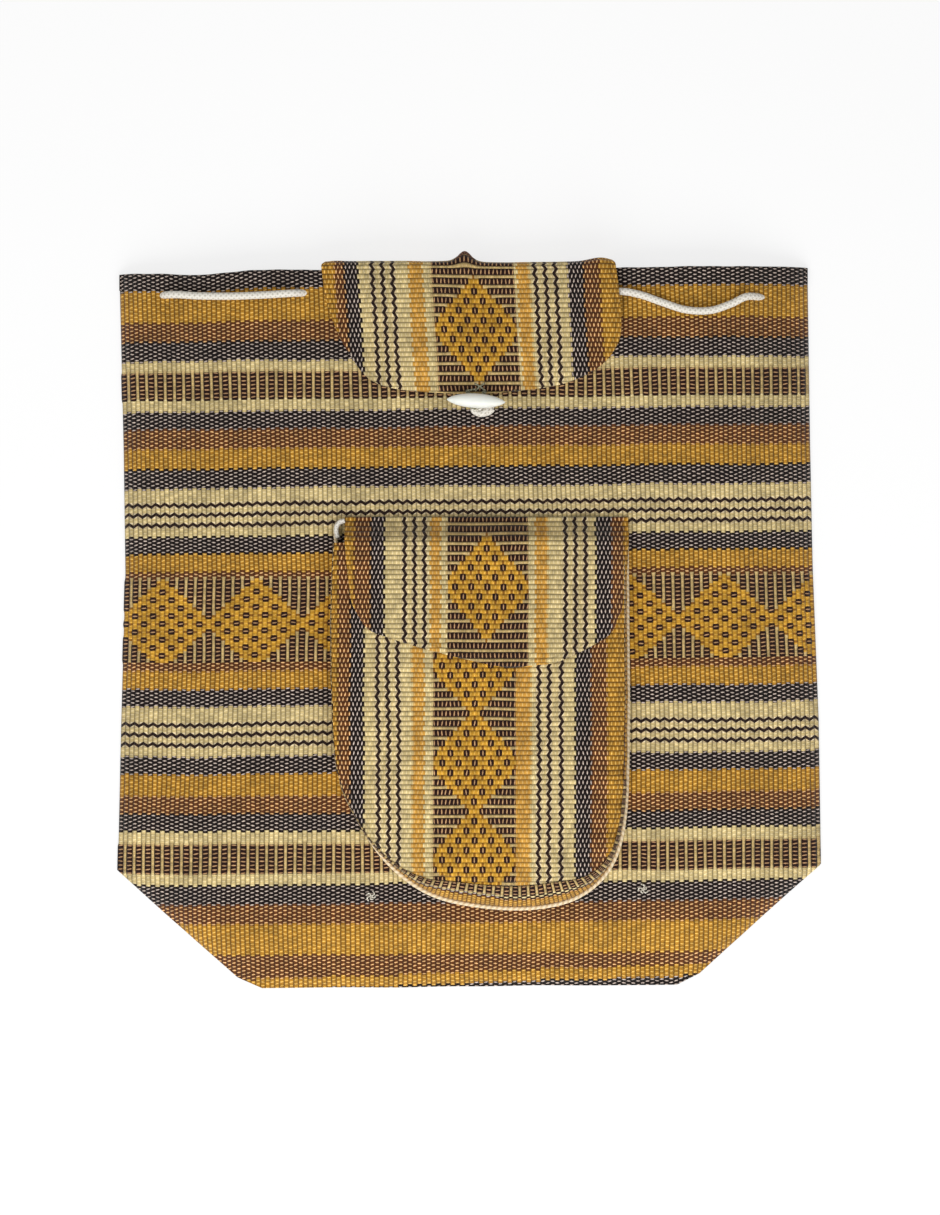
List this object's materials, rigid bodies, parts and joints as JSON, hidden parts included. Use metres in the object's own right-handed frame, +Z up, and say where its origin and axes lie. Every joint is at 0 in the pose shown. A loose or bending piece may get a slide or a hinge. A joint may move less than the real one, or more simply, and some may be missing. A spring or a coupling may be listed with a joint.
{
  "type": "woven drawstring backpack",
  "caption": "Flat woven striped cloth backpack lying empty, with a drawstring mouth, a top flap held by a toggle and a round-bottomed front pocket with its own flap.",
  "frame": {"origin": "centre of the bag's box, on the surface that the bag lies on", "axes": "+X to the right of the front face, +Y towards the mouth and the top flap, +Z up out of the front face"},
  "size_m": [0.4057, 0.425, 0.0358],
  "materials": {
    "sack_cloth": "coarse striped cotton weave",
    "flap_cloth": "coarse striped cotton weave with a column of diamonds",
    "gusset_cloth": "coarse striped cotton weave",
    "cord": "braided cotton cord",
    "toggle": "smooth polished",
    "piping": "twisted cotton piping",
    "strap_webbing": "flat woven webbing",
    "tape": "folded cotton tape",
    "thread": "white cotton thread"
  },
  "bodies": {
    "bag": {"body": "sack_cloth", "flap": "flap_cloth", "flap_loop": "thread", "drawstring": "cord", "drawstring_knot": "cord", "pocket_front": "flap_cloth", "pocket_gusset": "gusset_cloth", "pocket_piping": "piping", "pocket_flap": "flap_cloth", "shoulder_strap_left": "strap_webbing", "shoulder_strap_right": "strap_webbing", "hang_loop": "tape", "thread_tack_left": "thread", "thread_tack_right": "thread"},
    "toggle": {"toggle": "toggle"}
  },
  "joints": [
    {"name": "toggle_turn", "type": "hinge", "parent": "bag", "child": "toggle", "pos_m": [0.0037, 0.1259, 0.0318], "axis": [0, 0, 1], "range_deg": [-90, 90]}
  ]
}
